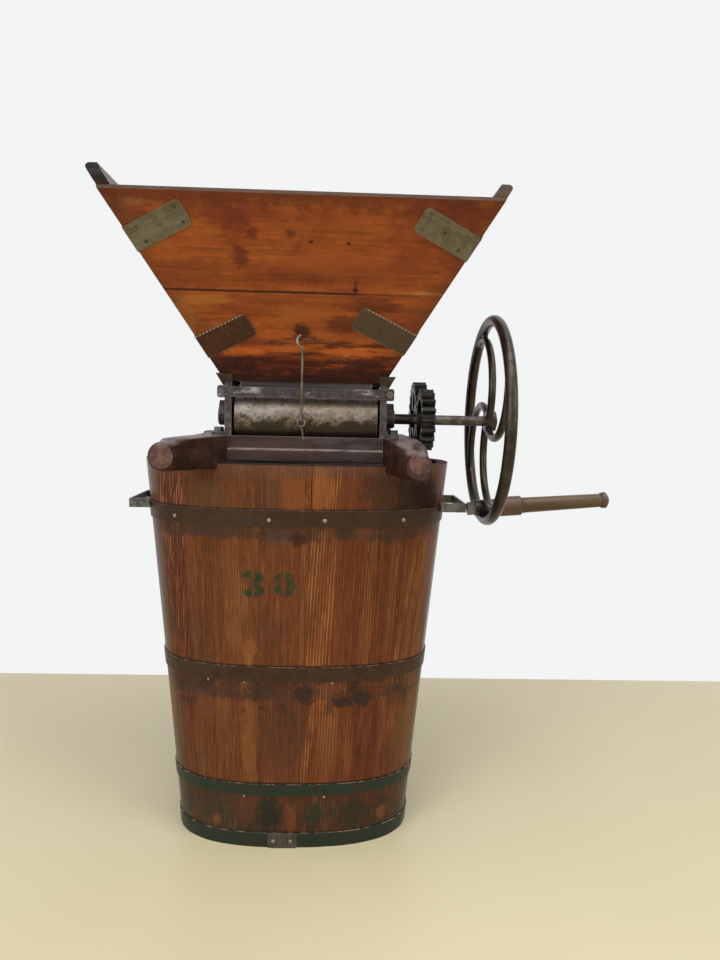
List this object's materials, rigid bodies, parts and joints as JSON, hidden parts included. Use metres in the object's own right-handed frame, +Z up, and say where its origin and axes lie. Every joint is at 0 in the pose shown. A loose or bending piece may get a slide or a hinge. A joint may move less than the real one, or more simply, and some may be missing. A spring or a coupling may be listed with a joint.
{
  "type": "hand cranked grape crusher on a stave tub",
  "caption": "Hand cranked grape crusher: flared wooden hopper over geared rollers with a flywheel, set on an oval stave tub with iron hoops.",
  "frame": {"origin": "centre of the tub's base on the floor, in the plane of the lowest hoop's lower edge", "axes": "+Z up, +X towards the crank and flywheel, -Y the front of the tub"},
  "size_m": [0.8862, 0.5512, 1.154],
  "materials": {
    "tub_wood": "reddish brown stained staves, worn, with lighter orange grain",
    "green_hoop_iron": "worn dark green paint on flat iron",
    "dark_hoop_iron": "dark brown weathered iron",
    "bright_rivets": "pale worn steel",
    "timber_wood": "hewn chocolate brown timber with pinkish end grain",
    "crosspiece_wood": "worn lilac grey painted boards",
    "grey_cast_iron": "pale grey worn cast iron",
    "olive_sheet_iron": "olive brown sheet iron",
    "greasy_brass": "greasy dull brass",
    "steel_wire": "pale steel wire",
    "roller_iron": "mottled grey brown iron",
    "shaft_steel": "dull steel",
    "dark_gear_iron": "dark grey greasy iron",
    "flywheel_iron": "dark brown iron with an olive sheen",
    "grip_wood": "polished olive brown turned wood",
    "hopper_pine": "orange brown varnished pine with knots"
  },
  "bodies": {
    "tub": {"stave_01": "tub_wood", "stave_02": "tub_wood", "stave_03": "tub_wood", "stave_04": "tub_wood", "stave_05": "tub_wood", "stave_06": "tub_wood", "stave_07": "tub_wood", "stave_08": "tub_wood", "stave_09": "tub_wood", "stave_10": "tub_wood", "stave_11": "tub_wood", "stave_12": "tub_wood", "stave_13": "tub_wood", "stave_14": "tub_wood", "stave_15": "tub_wood", "stave_16": "tub_wood", "tub_bottom_boards": "tub_wood", "top_hoop": "dark_hoop_iron", "middle_hoop": "dark_hoop_iron", "lower_hoop": "green_hoop_iron", "base_hoop": "green_hoop_iron", "tub_rivets": "bright_rivets", "left_tub_handle": "dark_hoop_iron", "right_tub_handle": "dark_hoop_iron"},
    "crusher_frame": {"left_side_timber": "timber_wood", "right_side_timber": "timber_wood", "front_crosspiece_upper": "crosspiece_wood", "front_crosspiece_lower": "crosspiece_wood", "rear_crosspiece_upper": "crosspiece_wood", "rear_crosspiece_lower": "crosspiece_wood", "left_end_plate": "grey_cast_iron", "right_end_plate": "grey_cast_iron", "front_top_bar": "grey_cast_iron", "rear_top_bar": "grey_cast_iron", "hopper_seats": "olive_sheet_iron", "bearing_bushes": "greasy_brass", "frame_bolts": "bright_rivets", "latch_screw_eyes": "steel_wire"},
    "hopper": {"hopper_front_lower_board": "hopper_pine", "hopper_front_upper_board": "hopper_pine", "hopper_rear_lower_board": "hopper_pine", "hopper_rear_upper_board": "hopper_pine", "hopper_left_side": "hopper_pine", "hopper_right_side": "hopper_pine", "hopper_battens": "hopper_pine", "hopper_upper_straps": "olive_sheet_iron", "hopper_lower_straps": "olive_sheet_iron", "hopper_nails": "steel_wire"},
    "crank": {"front_roller": "roller_iron", "crank_shaft": "shaft_steel", "crank_gear": "dark_gear_iron", "flywheel": "flywheel_iron", "crank_handle_bolt": "shaft_steel", "crank_handle_nut": "shaft_steel"},
    "grip": {"crank_grip": "grip_wood"},
    "rear_roller": {"rear_roller": "roller_iron", "rear_shaft": "shaft_steel", "rear_gear": "dark_gear_iron"},
    "front_hook": {"front_latch_hook": "steel_wire"},
    "rear_hook": {"rear_latch_hook": "steel_wire"}
  },
  "joints": [
    {"name": "crusher_lift", "type": "slide", "parent": "tub", "child": "crusher_frame", "axis": [0, 0, 1], "range_m": [0, 0.35]},
    {"name": "hopper_lift", "type": "slide", "parent": "crusher_frame", "child": "hopper", "axis": [0, 0, 1], "range_m": [0, 0.3]},
    {"name": "crank_spin", "type": "hinge", "parent": "crusher_frame", "child": "crank", "pos_m": [0.346, -0.05828, 0.779], "axis": [1, 0, 0], "continuous": true},
    {"name": "rear_roller_spin", "type": "hinge", "parent": "crusher_frame", "child": "rear_roller", "pos_m": [0.231, 0.05828, 0.779], "axis": [1, 0, 0], "continuous": true},
    {"name": "grip_spin", "type": "hinge", "parent": "crank", "child": "grip", "pos_m": [0.346, -0.05828, 0.6195], "axis": [0.9968, 0, 0.0802], "continuous": true},
    {"name": "front_hook_swing", "type": "hinge", "parent": "crusher_frame", "child": "front_hook", "pos_m": [0.008, -0.126, 0.7762], "axis": [1, 0, 0], "range_deg": [0, 125]},
    {"name": "rear_hook_swing", "type": "hinge", "parent": "crusher_frame", "child": "rear_hook", "pos_m": [0.024, 0.126, 0.7762], "axis": [-1, 0, 0], "range_deg": [0, 125]}
  ],
  "couplings": [
    {"joint": "rear_roller_spin", "follows": "crank_spin", "ratio": -0.75}
  ]
}
